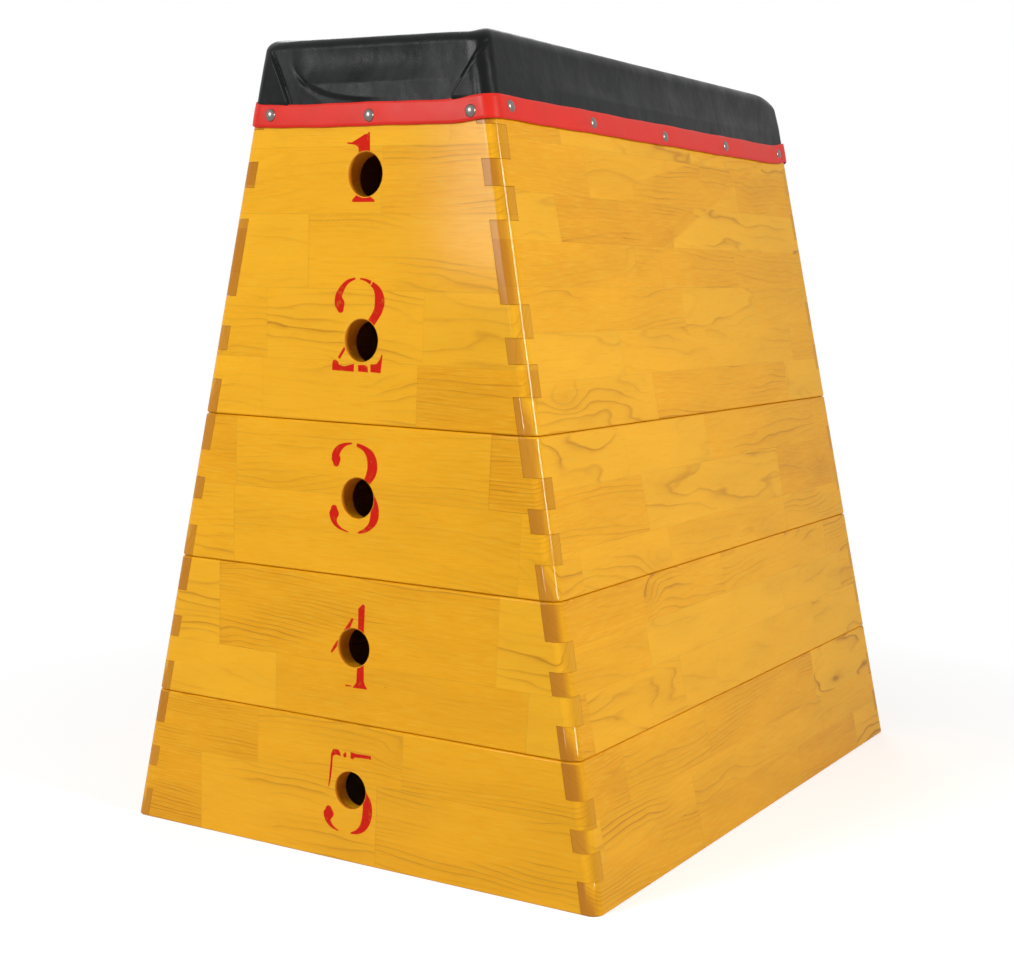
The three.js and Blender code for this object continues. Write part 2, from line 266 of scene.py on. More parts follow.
    # End grain, browner, wherever the surface cuts across the strips
    cut = setRamp(add("ValToRGB", tone), endTones)
    endRing = add("Math MULTIPLY", ring, 0.3)
    cut = add("Mix", endRing, cut, linear(staves["endRingColour"]), data_type="RGBA")
    normal = add("SeparateXYZ", add("TexCoord").outputs["Normal"])
    facing = add("MapRange", add("Math ABSOLUTE", normal.outputs[axes[0]]), 0.45, 0.85)
    colour = add("Mix", facing, face, cut, data_type="RGBA")

    # Faint glue lines round each stave
    rowLine = add("Math LESS_THAN", add("Math PINGPONG", add("Math FRACT", strip), 1), 0.012)
    buttLine = add("Math LESS_THAN", add("Math FRACT", run), 0.003)
    line = add("Math MULTIPLY_ADD", add("Math MAXIMUM", rowLine, buttLine), -0.1, 1)
    colour = add("VectorMath MULTIPLY", colour, line)

    # Relief that the lacquer only half fills
    relief = add("Math MULTIPLY_ADD", ring, -0.5, fibre)
    if not bored:
        return colour, relief

    # Hand-hole bores: browner bare end grain at the rim, then painted shade that darkens the bore wall to
    # near black deeper in, where little light reaches
    level = add("Math SUBTRACT", add("Math MODULO", rise, handHole["spacing"]), handHole["height"])
    far = add("VectorMath LENGTH", add("CombineXYZ", along, level))
    boreShadeMask = add("Math LESS_THAN", far, handHole["radius"] + handHole["margin"])
    # Painted shade: the bore wall gets darker the deeper it lies below the face
    shadeDepth = add("Math DIVIDE", below, -staves["boreShadeDepth"])
    wall = setRamp(add("ValToRGB", shadeDepth), staves["boreShadeTones"])
    return add("Mix", boreShadeMask, colour, wall, data_type="RGBA"), relief


# Amber lacquer, brushed on and flowed out: deep colour under a smooth gloss
lacquer = {"roughness": 0.42, "coat": 0.35, "coatRoughness": 0.12, "reliefDepth": 0.12 * mm}

# Grain axes, place and slope of the outer face, end-grain tones, and whether there are hand holes
endBoards = (("X", "Z", "Y"), -taper["baseLength"] / 2, endSlope,
             ((0.0, "#e0a01c"), (1.0, "#d08e12")), True)
sideBoards = (("Y", "Z", "X"), -taper["baseWidth"] / 2, sideSlope,
              ((0.0, "#cc8a1e"), (1.0, "#b87412")), False)


def lacqueredSurface(add, colour, relief, coat):
    bump = add("Bump", {"Height": relief, "Strength": 0.5, "Distance": lacquer["reliefDepth"]})
    add("OutputMaterial", add("BsdfPrincipled", {
        "Base Color": colour, "Roughness": lacquer["roughness"], "Normal": bump, "Specular IOR Level": 0.0,
        "Coat Weight": coat, "Coat Roughness": lacquer["coatRoughness"], "Coat IOR": 1.5}))


def makeLacqueredStaves(name, boards):
    material, add = newMaterial(name)
    lacqueredSurface(add, *staveFigure(add, *boards), lacquer["coat"])
    return material


def makeStencilPaint():
    # Enamel dabbed through a stencil: thin in places, so that the wood shows
    paint = {"tones": ((0.3, "#c6140c"), (0.7, "#d3180e")), "thinScale": 170, "coat": 0.15}
    material, add = newMaterial("stencilEnamel")
    wood, relief = staveFigure(add, *endBoards)
    dab = add("TexNoise", add("TexCoord").outputs["Object"], paint["thinScale"], 3)
    cover = add("MapRange", dab, 0.28, 0.42, 0.8, 0.99)
    red = setRamp(add("ValToRGB", dab), paint["tones"])
    lacqueredSurface(add, add("Mix", cover, wood, red, data_type="RGBA"), relief, paint["coat"])
    return material


def makePlanedWood(name, axes):
    # Softwood batten, planed and sealed once: straight grain and a dull surface
    batten = {"tones": ((0.2, "#d9a863"), (0.8, "#c48f4a")), "grainWidth": 4 * mm, "grainLength": 180 * mm}
    material, add = newMaterial(name)
    parts = add("SeparateXYZ", add("TexCoord").outputs["Object"]).outputs
    spread = add("CombineXYZ", *(parts[axis] for axis in axes))
    scale = (1 / batten["grainLength"], 1 / batten["grainWidth"], 1 / batten["grainWidth"])
    grain = add("TexNoise", add("VectorMath MULTIPLY", spread, scale), 1, 4, 0.65, {"Distortion": 0.3})
    colour = setRamp(add("ValToRGB", grain), batten["tones"])
    bump = add("Bump", {"Height": grain, "Strength": 0.4, "Distance": 0.2 * mm})
    add("OutputMaterial", add("BsdfPrincipled", {"Base Color": colour, "Roughness": 0.55, "Normal": bump}))
    return material


def makePlywood():
    # Sanded plywood: broad rotary-cut figure on the faces, thin plies at the edges
    sheet = {"tones": ((0.3, "#d3ab70"), (0.7, "#bf9253")), "plyColour": "#97683a", "plyThickness": 3 * mm}
    material, add = newMaterial("sandedPlywood")
    place = add("TexCoord").outputs["Object"]
    stretch = add("VectorMath MULTIPLY", place, (28, 3, 4))
    figure = add("TexNoise", stretch, 1, 4, {"Distortion": 0.8})
    face = setRamp(add("ValToRGB", figure), sheet["tones"])
    height = add("SeparateXYZ", place).outputs["Z"]
    ply = add("Math PINGPONG", height, sheet["plyThickness"])
    ply = add("Math LESS_THAN", ply, 0.5 * sheet["plyThickness"])
    upright = add("SeparateXYZ", add("TexCoord").outputs["Normal"]).outputs["Z"]
    edge = add("Math LESS_THAN", add("Math ABSOLUTE", upright), 0.5)
    ply = add("Math MULTIPLY", ply, edge)
    colour = add("Mix", ply, face, linear(sheet["plyColour"]), data_type="RGBA")
    bump = add("Bump", {"Height": figure, "Strength": 0.3, "Distance": 0.2 * mm})
    add("OutputMaterial", add("BsdfPrincipled", {"Base Color": colour, "Roughness": 0.6, "Normal": bump}))
    return material


def makeVinyl(name, look):
    # Calendered vinyl on a cloth backing: an embossed leather grain under a satin skin
    material, add = newMaterial(name)
    place = add("TexCoord").outputs["Object"]
    cell = add("TexVoronoi", place, 1 / look["grainSize"])
    cloud = add("TexNoise", place, 38, 4)
    slack = add("TexNoise", place, look["slackScale"], 2)
    colour = setRamp(add("ValToRGB", cloud), look["tones"])
    rough = add("MapRange", cloud, 0.3, 0.7, *look["roughness"])
    soft = add("Bump", {"Height": slack, "Strength": 1.0, "Distance": look["slackDepth"]})
    bump = add("Bump", {"Height": cell, "Strength": look["grainStrength"], "Distance": look["grainDepth"],
                        "Normal": soft})
    add("OutputMaterial", add("BsdfPrincipled", {
        "Base Color": colour, "Roughness": rough, "Normal": bump, "Specular IOR Level": look["gloss"]}))
    return material


def makeChrome():
    # Chrome plate over a stamped dome: mirror dulled by handling haze
    plate = {"colour": "#7a7570", "roughness": (0.24, 0.34), "hazeScale": 900}
    material, add = newMaterial("chromePlatedSteel")
    haze = add("TexNoise", add("TexCoord").outputs["Object"], plate["hazeScale"], 2)
    rough = add("MapRange", haze, 0, 1, *plate["roughness"])
    add("OutputMaterial", add("BsdfPrincipled", {
        "Base Color": linear(plate["colour"]), "Metallic": 1.0, "Roughness": rough}))
    return material


def makeZinc():
    # Zinc-plated screw heads: dull grey-blue with faint clouds
    plate = {"tones": ((0.3, "#a9acb0"), (0.7, "#c3c4c2")), "roughness": 0.36, "cloudScale": 600}
    material, add = newMaterial("zincPlatedSteel")
    cloud = add("TexNoise", add("TexCoord").outputs["Object"], plate["cloudScale"], 3)
    colour = setRamp(add("ValToRGB", cloud), plate["tones"])
    add("OutputMaterial", add("BsdfPrincipled", {
        "Base Color": colour, "Metallic": 1.0, "Roughness": plate["roughness"]}))
    return material


lacqueredEnds = makeLacqueredStaves("lacqueredStavesAcross", endBoards)
lacqueredSides = makeLacqueredStaves("lacqueredStavesAlong", sideBoards)
stencilEnamel = makeStencilPaint()
battenUpright = makePlanedWood("planedBattenUpright", ("Z", "X", "Y"))
battenAcross = makePlanedWood("planedBattenAcross", ("X", "Z", "Y"))
battenAlong = makePlanedWood("planedBattenAlong", ("Y", "Z", "X"))
plywood = makePlywood()
blackVinyl = makeVinyl("embossedBlackVinyl", {
    "grainSize": 1.6 * mm, "grainStrength": 0.35, "grainDepth": 0.12 * mm, "gloss": 0.11,
    "slackScale": 34, "slackDepth": 0.9 * mm,
    "tones": ((0.3, "#0d0e0f"), (0.7, "#141516")), "roughness": (0.26, 0.42)})
redVinyl = makeVinyl("smoothRedVinyl", {
    "grainSize": 0.9 * mm, "grainStrength": 0.15, "grainDepth": 0.05 * mm, "gloss": 0.16,
    "slackScale": 30, "slackDepth": 0.4 * mm,
    "tones": ((0.3, "#d4281c"), (0.7, "#dc2c20")), "roughness": (0.34, 0.42)})
chrome = makeChrome()
zinc = makeZinc()
print("materials made:", len(bpy.data.materials))


# Pieces

def addPiece(name, mesh, material, body, nodes=()):
    piece = addObject(name, mesh)
    mesh.materials.clear()
    mesh.materials.append(material)
    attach(piece, body)
    if nodes:
        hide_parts(*nodes)
    return piece


def bakeModifiers(piece):
    # The evaluated shape becomes the piece's own plain mesh
    graph = bpy.context.evaluated_depsgraph_get()
    mesh = bpy.data.meshes.new_from_object(piece.evaluated_get(graph))
    piece.modifiers.clear()
    piece.data = mesh
    return mesh


# Boards: the frame's own shapes, merged, with their eased edges rounded
boardLook = {"easeRound": 0.5 * mm, "easeSteps": 2, "easeBand": 1.7 * mm, "level": 0.05 * mm,
             "weld": 0.01 * mm, "flatDegrees": 0.6, "sharpDegrees": 32,
             "endStave": 62 * mm, "sideStave": 45 * mm}


def markEasedEdges(bm, section):
    # The level edges at the board's foot and head
    weights = bm.edges.layers.float.new("bevel_weight_edge")
    low, high = sectionSpans[section]
    for edge in bm.edges:
        heights = [vert.co.z for vert in edge.verts]
        level = abs(heights[0] - heights[1]) < boardLook["level"]
        atFoot = max(heights) < low + boardLook["easeBand"]
        if level and (atFoot or min(heights) > high - boardLook["easeBand"]):
            edge[weights] = 1


def markStaves(mesh, section, stave, seed):
    # What the stave figure reads: the board's seed, and its foot, height and count of strips
    low, high = sectionSpans[section]
    count = len(mesh.vertices)
    mesh.attributes.new("boardSeed", "FLOAT", "POINT").data.foreach_set("value", [seed] * count)
    span = [low, high - low, round((high - low) / boardLook[stave])] * count
    mesh.attributes.new("boardSpan", "FLOAT_VECTOR", "POINT").data.foreach_set("vector", span)


def addBoard(section, face, seed):
    node = f"{section}_{face}_board"
    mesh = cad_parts[node].data.copy()
    bm = bmesh.new()
    bm.from_mesh(mesh)
    bmesh.ops.remove_doubles(bm, verts=bm.verts, dist=boardLook["weld"])
    flat = math.radians(boardLook["flatDegrees"])
    bmesh.ops.dissolve_limit(bm, angle_limit=flat, verts=bm.verts, edges=bm.edges)
    markEasedEdges(bm, section)
    bm.to_mesh(mesh)
    bm.free()
    markStaves(mesh, section, "endStave" if face in ends else "sideStave", seed)
    material = lacqueredEnds if face in ends else lacqueredSides
    board = addPiece(f"finished_{node}", mesh, material, sectionBodies[section], [node])
    rounded = board.modifiers.new("round", "BEVEL")
    rounded.limit_method = "WEIGHT"
    rounded.width = boardLook["easeRound"]
    rounded.segments = boardLook["easeSteps"]
    mesh = bakeModifiers(board)
    mesh.shade_smooth()
    mesh.set_sharp_from_angle(angle=math.radians(boardLook["sharpDegrees"]))
    board.modifiers.new("even", "WEIGHTED_NORMAL").keep_sharp = True
    bakeModifiers(board)


seed = 0
for section in sectionBodies:
    for face in ends + sides:
        seed += 1
        addBoard(section, face, seed)
print("boards dressed:", seed)


# Stencilled numerals, in millimetres from the middle of each hand hole.
# A stroke is a path of (across, up, width); a block is a plain outline.
numerals = {
    "lift": 0.12 * mm,
    "sink": 0.1 * mm,
    "slant": 0.018,
    "strokeStep": 1.5,
    "blockStep": 1.2,
    "roundFrom": 7,
    "roundSteps": 9,
    "1": {"size": (0.954, 0.896), "shift": (7.0, 0.1),
          "strokes": [],
          "blocks": [[(-31.5, 31.5), (-25, 31.5), (-18, 35), (-10, 39), (-6.5, 39.5), (-4.5, 41.5),
                      (-3.5, 41), (-2, 16), (-15.5, 17), (-17, 26.5), (-21, 29), (-30, 30)],
                     [(-15, -14), (-2, -14), (1, -23), (5.5, -25.5), (5.5, -27.5), (-22, -27.5),
                      (-22.5, -25.5), (-16.5, -20)]]},
    "2": {"size": (0.974, 0.93), "shift": (4.1, -2.5),
          "strokes": [[(-14.5, 64.2, 2), (-24, 60.5, 4), (-31, 53, 6.5), (-34.5, 45, 9), (-32.5, 37.5, 12),
                       (-31.5, 33.5, 8)],
                      [(-8.5, 64, 1.5), (-2, 63, 2.5), (5, 60.3, 4)],
                      [(6.2, 59.3, 5), (10.8, 56, 6.5), (15, 50, 10), (16.7, 41.5, 12), (15.2, 33, 10.5),
                       (11, 26, 9.5), (5, 18, 9)],
                      [(-24, -5, 3), (-31.5, -16, 3)]],
          "blocks": [[(-38.5, -18.5), (-35.5, -17.5), (-32.5, -19.5), (-31, -22.5), (-25, -24), (-12, -21),
                      (-12, -29), (-39.5, -28.5), (-39.5, -21.5)],
                     [(-7, -22), (1.5, -21.5), (5, -23), (6, -29), (-6.5, -28.5)],
                     [(8.5, -20.5), (16, -20), (19.5, -16), (22, -10), (23, -11), (21.5, -29), (9, -28.5)]]},
    "3": {"size": (0.991, 0.966), "shift": (1.3, -2.8),
          "strokes": [[(-10.5, 57.8, 1.5), (-19, 56, 3.5), (-27, 51, 7.5), (-30.5, 45, 9.5), (-29.7, 40, 11),
                       (-29.5, 37, 8)],
                      [(-4.5, 56.8, 3.5), (6.3, 52.7, 6), (11.5, 48.5, 9.2), (15, 42, 11.5), (16, 35, 12.3),
                       (14.5, 28, 11.5), (11, 22, 9), (5, 15, 6)],
                      [(15, 7, 8), (20, -3, 10), (21.3, -11.5, 10.5), (20, -18.5, 9.5), (16, -24.5, 6.5),
                       (9.5, -29.2, 4.5), (1, -32.3, 1.5)],
                      [(-30.2, -10, 8), (-30, -14.5, 12.5), (-30.3, -19.5, 9), (-28.3, -24.5, 5.5),
                       (-22.5, -29, 3), (-11, -32.5, 1)]],
          "blocks": []},
    "4": {"size": (1.011, 1.005), "shift": (-1.4, -0.5),
          "strokes": [[(-1, 30.5, 2.5), (-6, 21.5, 4.5), (-11, 12.5, 6), (-14, 7, 5)],
                      [(-18, 5.7, 3), (-22.5, -1, 3.5), (-26.8, -7.2, 2)],
                      [(-7, -39.3, 2), (0.5, -39, 1)]],
          "blocks": [[(5.5, 41.5), (8.5, 44), (11, 46.5), (13.5, 45), (13.5, 13), (6.3, 13)],
                     [(7, -14), (15, -14), (16, -32), (17.5, -36), (20.5, -39), (19.5, -40), (2, -40.5),
                      (3, -39), (6.5, -35)]]},
    "5": {"size": (1.029, 1.041), "shift": (-4.3, -3.7),
          "strokes": [[(21, 2, 9), (26.3, -7, 11), (27, -17, 12), (25.7, -25, 11), (22, -32.5, 8.5),
                       (16.5, -37.5, 5.5), (7, -41, 1.5)],
                      [(-22.5, -20.5, 8), (-22.3, -23.5, 13), (-23, -27.5, 11.5), (-22.7, -32, 7),
                       (-18.5, -37, 4), (-9, -41.3, 1)]],
          "blocks": [[(-19.5, 43), (-13, 43.5), (-10, 40.5), (-9.5, 37), (-16, 38), (-19.5, 35.5), (-20, 24),
                      (-21, 13), (-23, 3.5), (-24, 3.5), (-23, 16.5), (-22, 31), (-22, 37.5)],
                     [(-3.5, 42.5), (-2, 40.5), (-2.5, 37), (-5.5, 36.5), (-6.5, 39.5)],
                     [(3, 43.5), (9, 42.5), (28.5, 43), (29, 39), (26, 39.5), (8, 38.5), (7, 36.5),
                      (3, 36.5)]]},
}
numeralPlaces = {"top": ("2", "1"), "tier_3": ("3",), "tier_4": ("4",), "tier_5": ("5",)}


def hermite(path, places, wanted):
    # Smooth curve through the points of a path, at the wanted places along it
    slopes = np.gradient(path, places, axis=0)
    i = np.clip(np.searchsorted(places, wanted, side="right") - 1, 0, len(places) - 2)
    width = (places[i + 1] - places[i])[:, None]
    t = (wanted - places[i])[:, None] / width
    return ((2 * t**3 - 3 * t**2 + 1) * path[i] + (t**3 - 2 * t**2 + t) * width * slopes[i]
            + (3 * t**2 - 2 * t**3) * path[i + 1] + (t**3 - t**2) * width * slopes[i + 1])


def strokeOutline(path):
    path = np.array(path, float)
    steps = np.hypot(*np.diff(path[:, :2], axis=0).T)
    places = np.concatenate([[0], np.cumsum(steps)])
    count = max(6, int(places[-1] / numerals["strokeStep"]))
    fine = hermite(path, places, np.linspace(0, places[-1], count))
    forward = np.gradient(fine[:, :2], axis=0)
    forward /= np.linalg.norm(forward, axis=1, keepdims=True)
    sideways = np.stack([-forward[:, 1], forward[:, 0]], 1) * fine[:, 2:] / 2
    outline = list(fine[:, :2] + sideways)
    for end, sign, here in ((-1, 1, fine[-1]), (0, -1, fine[0])):
        # Wide ends are round, like the drops of the figures
        if here[2] > numerals["roundFrom"]:
            for angle in np.linspace(0, math.pi, numerals["roundSteps"])[1:-1]:
                reach = forward[end] * here[2] / 2 * math.sin(angle) + sideways[end] * math.cos(angle)
                outline.append(here[:2] + reach * sign)
        if end == -1:
            outline += list((fine[:, :2] - sideways)[::-1])
    return outline


def blockOutline(corners):
    outline = []
    for (x0, y0), (x1, y1) in zip(corners, corners[1:] + corners[:1]):
        count = max(1, int(math.hypot(x1 - x0, y1 - y0) / numerals["blockStep"]))
        outline += [(x0 + (x1 - x0) * i / count, y0 + (y1 - y0) * i / count) for i in range(count)]
    return outline


def holeHeights(section):
    # The top section has two hand holes in each end board, the others one
    foot = round(sectionSpans[section][0], 3) + handHole["height"]
    return [foot + level * handHole["spacing"] for level in range(len(numeralPlaces[section]))]


def addNumeral(section, figure, height, end, seed):
    sign = -1 if end == "front" else 1
    spec = numerals[figure]
    outlines = [strokeOutline(path) for path in spec["strokes"]]
    outlines += [blockOutline(corners) for corners in spec["blocks"]]
    up = Vector((0, -sign * endSlope, 1)).normalized()
    out = Vector((0, sign, endSlope)).normalized()
    middle = Vector((0, sign * halfLength(height), height))
    (wide, tall), (shiftX, shiftY) = spec["size"], spec["shift"]
    holeEdge = handHole["radius"] + handHole["ease"] + handHole["margin"]
    bm = bmesh.new()
    for outline in outlines:
        verts = []
        for x, y in outline:
            x = (x * wide + y * numerals["slant"] + shiftX) * mm
            y = (y * tall + shiftY) * mm
            reach = math.hypot(x, y)
            if reach < holeEdge:
                x, y = x * holeEdge / reach, y * holeEdge / reach
            verts.append(bm.verts.new(middle + Vector((-sign * x, 0, 0)) + up * y - out * numerals["sink"]))
        bm.faces.new(verts)
    bmesh.ops.remove_doubles(bm, verts=bm.verts, dist=0.02 * mm)
    bmesh.ops.triangulate(bm, faces=bm.faces)
    raised = bmesh.ops.extrude_face_region(bm, geom=bm.faces[:])
    moved = [item for item in raised["geom"] if isinstance(item, bmesh.types.BMVert)]
    bmesh.ops.translate(bm, verts=moved, vec=out * (numerals["sink"] + numerals["lift"]))
    bmesh.ops.recalc_face_normals(bm, faces=bm.faces)
    mesh = bpy.data.meshes.new(f"numeral_{figure}_{end}")
    bm.to_mesh(mesh)
    bm.free()
    markStaves(mesh, section, "endStave", seed)
    addPiece(mesh.name, mesh, stencilEnamel, sectionBodies[section])


# A numeral has the seed of its board, so that the wood shows through it in place
for order, section in enumerate(sectionBodies):
    for figure, height in zip(numeralPlaces[section], holeHeights(section)):
        for i, end in enumerate(ends):
            addNumeral(section, figure, height, end, order * len(ends + sides) + i + 1)
print("numerals painted")


# Rings round the pad and the band: straight runs and quarter arcs share one set of columns

def makeColumns(halfX, halfY, spacing):
    # Each column is (run, share of it); even runs are corners, odd ones straight
    columns = []
    for run in range(8):
        if run % 2 == 0:
            shares = [i / spacing["arcSteps"] for i in range(spacing["arcSteps"])]
        else:
            isEnd = run in (3, 7)
            length = 2 * (halfX if isEnd else halfY)
            zone = spacing["endZone" if isEnd else "sideZone"]
            coarse = (length - 2 * zone) / max(1, round((length - 2 * zone) / spacing["coarse"]))
            edge = list(np.arange(0, zone, spacing["fine"]))
            middle = list(np.arange(zone, length - zone, coarse))
            last = [length - place for place in reversed(edge[1:] + [zone])]
            places = edge + [p for p in middle if p < last[0] - coarse / 3] + last
            shares = [place / length for place in places]
        columns += [(run, share) for share in shares]
    return columns


def ringPoints(columns, halfX, halfY, radius, z, drawIn=0):
    # Corner 0 is front right, then back right, back left, front left
    corners = [np.array([sx * (halfX - radius), sy * (halfY - radius), z])
               for sx, sy in ((1, -1), (1, 1), (-1, 1), (-1, -1))]
    points, normals = [], []
    for run, share in columns:
        quarter, isStraight = divmod(run, 2)
        angle = (quarter if isStraight else quarter - 1 + share) * math.pi / 2
        normal = np.array([math.cos(angle), math.sin(angle), 0])
        point = corners[quarter]
        if isStraight:
            point = point + (corners[(quarter + 1) % 4] - point) * share
        pulled = drawIn * math.sin(share * math.pi) if isStraight else 0
        points.append(point + normal * (radius - pulled))
        normals.append(normal)
    return np.array(points), np.array(normals)


def gridMesh(name, grid, closed=False):
    # Skin through rows of rings; a closed one runs on from its last row to its first
    rows, count = grid.shape[:2]
    index = np.arange(rows * count).reshape(rows, count)
    if closed:
        index = np.concatenate([index, index[:1]])
    following = np.roll(index, -1, axis=1)
    faces = np.stack([index[:-1], following[:-1], following[1:], index[1:]], -1).reshape(-1, 4)
    mesh = bpy.data.meshes.new(name)
    mesh.from_pydata(grid.reshape(-1, 3).tolist(), [], faces.tolist())
    return mesh


def mergeClose(mesh, distance):
    bm = bmesh.new()
    bm.from_mesh(mesh)
    bmesh.ops.remove_doubles(bm, verts=bm.verts, dist=distance)
    bmesh.ops.dissolve_degenerate(bm, edges=bm.edges, dist=distance)
    bmesh.ops.recalc_face_normals(bm, faces=bm.faces)
    bm.to_mesh(mesh)
    bm.free()


# Pad: foam under a vinyl cover, pulled down over the edge of the deck
pad = {
    "skirtTop": 743 * mm,
    "boardTop": 758 * mm,
    "rimRadius": 9.5 * mm,
    "rimHeight": 800 * mm,
    "crown": 5 * mm,
    "drawIn": 3 * mm,
    "mostPull": math.pi * 0.72,
    "topCrowding": 1.4,
    "seatGap": 0.3 * mm,
    "mostDip": 12 * mm,
    "skinOut": 0.9 * mm,
    "skinThickness": 0.7 * mm,
    "boardRadius": 13 * mm,
    "cornerDrop": {"front": 1 * mm, "back": 7 * mm},
    "cornerReach": 26 * mm,
    "endRimDrop": 2 * mm,
    "sideRimLift": 1.5 * mm,
    "rimReach": 55 * mm,
}
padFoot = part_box("pad_cover")[0].z + 3.5 * mm

# How closely the cover's skin is divided: rows up its wall, and columns round it
padSkin = {"step": 1.15 * mm, "rimSteps": 10, "topSteps": 26, "arcSteps": 14, "endZone": 68 * mm,
           "sideZone": 22 * mm, "fine": 1.1 * mm, "coarse": 4 * mm}


def padProfile():
    # Rows of (height, way out from the boards, inset, draw-in share)
    out = pad["skinOut"]
    rows = [(padFoot, out, 0, 0), (pad["skirtTop"] - 4 * mm, out, 0, 0)]
    rimStart = pad["rimHeight"] - pad["rimRadius"]
    count = round((rimStart - pad["skirtTop"]) / padSkin["step"])
    for i in range(count + 1):
        z = pad["skirtTop"] + (rimStart - pad["skirtTop"]) * i / count
        share = min(1, max(0, (z - pad["boardTop"]) / (rimStart - pad["boardTop"])))
        rows.append((z, out, 0, math.sin(share * pad["mostPull"])))
    for i in range(1, padSkin["rimSteps"] + 1):
        angle = i / padSkin["rimSteps"] * math.pi / 2
        inset = pad["rimRadius"] * (1 - math.cos(angle))
        pull = math.sin(pad["mostPull"]) * math.cos(angle)
        rows.append((rimStart + pad["rimRadius"] * math.sin(angle), out, inset, pull))
    full = halfWidth(pad["rimHeight"], out)
    for i in range(1, padSkin["topSteps"] + 1):
        share = (i / padSkin["topSteps"]) ** pad["topCrowding"]
        inset = pad["rimRadius"] + (full - pad["rimRadius"]) * share
        rows.append((pad["rimHeight"] + pad["crown"] * (1 - (1 - share) ** 2), out, inset, 0))
    return rows


def padGrid(columns, rows):
    rings = []
    for z, out, inset, pull in rows:
        level = min(z, pad["rimHeight"])
        halfX, halfY = halfWidth(level, out), halfLength(level, out)
        radius = min(pad["boardRadius"] + out, max(halfX - inset, 0))
        ring, normals = ringPoints(columns, halfX - inset, halfY - inset, radius, z, pad["drawIn"] * pull)
        rings.append(ring)
    return np.array(rings), normals


def undersideRows():
    # Rows of the cover's inner side, across the deck and down inside its skirt
    inner = pad["skinOut"] - pad["skinThickness"]
    seat = pad["boardTop"] + pad["seatGap"]
    full = halfWidth(seat, inner)
    rows = [(seat, inner, full * share, 0) for share in (1, 0.7, 0.3, 0.03)]
    return rows + [(seat, inner, 0, 0), (padFoot, inner, 0, 0)]


def smoothStep(low, high, values):
    t = np.clip((values - low) / (high - low), 0, 1)
    return t * t * (3 - 2 * t)


# Creases of the end panels, on the panel's own plane: across from its middle, and up.
# The ripples are those of the long sides
creases = {
    "foldRight": ((132 * mm, 793 * mm), (97 * mm, 743 * mm)),
    "foldLeft": ((-117 * mm, 793 * mm), (-92 * mm, 742 * mm)),
    "foldGrown": (-2 * mm, 16 * mm),
    "foldEdge": (-0.5 * mm, 0.7 * mm),
    "foldStep": 2.8 * mm,
    "foldReach": 15 * mm,
    "foldGroove": {"depth": 1.6 * mm, "below": 0.8 * mm, "width": 1.1 * mm},
    "sagStart": -91 * mm,
    "sagBase": 741.5 * mm,
    "sagRise": 37 * mm,
    "sagDecay": 26 * mm,
    "sagGrown": (-92 * mm, -73 * mm),
    "sagFaded": (30 * mm, -40 * mm),
    "sagEdge": (-0.8 * mm, 3.2 * mm),
    "sagBulge": 2.1 * mm,
    "sagReach": 17 * mm,
    "sagGroove": {"depth": 1.6 * mm, "below": 1.4 * mm, "width": 1.7 * mm},
    "backSag": 0.8,
    "strip": {"depth": 0.6 * mm, "width": 4 * mm, "inset": 11 * mm, "slant": 0.1},
    "rippleFree": 12 * mm,
    "shortRipple": {"length": 23 * mm, "height": 0.35 * mm, "drift": 90 * mm},
    "longRipple": {"length": 61 * mm, "height": 0.5 * mm},
}


def creaseShape(away, edge, step, reach, groove):
    # A step up that dies away, and a groove along its foot
    swell = smoothStep(*edge, away) * np.exp(-np.maximum(away, 0) / reach)
    return step * swell - groove["depth"] * np.exp(-((away + groove["below"]) / groove["width"]) ** 2)


def foldShape(x, z, line, cornerSign):
    (topX, topZ), (footX, footZ) = line
    way = np.array([footX - topX, footZ - topZ])
    way /= np.linalg.norm(way)
    away = ((x - topX) * way[1] - (z - topZ) * way[0]) * -cornerSign
    down = (x - topX) * way[0] + (z - topZ) * way[1]
    return smoothStep(*creases["foldGrown"], down) * creaseShape(
        away, creases["foldEdge"], creases["foldStep"], creases["foldReach"], creases["foldGroove"])


def sagShape(x, z):
    decay = np.exp(-(x - creases["sagStart"]) / creases["sagDecay"])
    slope = -creases["sagRise"] / creases["sagDecay"] * decay
    above = (z - creases["sagBase"] - creases["sagRise"] * decay) / np.sqrt(1 + slope ** 2)
    fade = smoothStep(*creases["sagGrown"], x) * smoothStep(*creases["sagFaded"], x)
    return fade * creaseShape(
        above, creases["sagEdge"], creases["sagBulge"], creases["sagReach"], creases["sagGroove"])


def cornerStrip(x, z):
    # Shallow valley that drops from the top corner, just inside the rounded edge
    strip = creases["strip"]
    edge = halfWidth(z, pad["skinOut"]) - strip["inset"] - (pad["rimHeight"] - z) * strip["slant"]
    return -strip["depth"] * np.exp(-((x - edge) / strip["width"]) ** 2)


def padCreases(grid, normals):
    x, y, z = grid[..., 0], grid[..., 1], grid[..., 2]
    wall = smoothStep(pad["rimHeight"] + 1 * mm, pad["rimHeight"] - 8 * mm, z)
    wall = wall * smoothStep(pad["skirtTop"] - 3 * mm, pad["skirtTop"], z)
    shift = np.zeros_like(z)
    for sign, sag in ((-1, 1), (1, creases["backSag"])):
        facing = np.clip(normals[:, 1] * sign, 0, 1) ** 2
        across = -sign * x
        shape = foldShape(across, z, creases["foldRight"], 1) + foldShape(across, z, creases["foldLeft"], -1)
        shift += facing * wall * (shape + cornerStrip(across, z) + sagShape(x, z) * sag)

    # Long faint ripples of the sides, where the cover is pulled down between the tacks
    short, long = creases["shortRipple"], creases["longRipple"]
    free = pad["boardTop"] + creases["rippleFree"]
    middle = smoothStep(pad["boardTop"], free, z) * smoothStep(pad["rimHeight"], free, z)
    for sign in (-1, 1):
        facing = np.clip(normals[:, 0] * sign, 0, 1) ** 2
        ripple = np.sin(y / short["length"] + 2 * np.sin(y / short["drift"])) * short["height"]
        ripple = ripple + np.sin(y / long["length"] + sign) * long["height"]
        shift += facing * wall * ripple * middle
    return grid + normals[None] * shift[..., None]


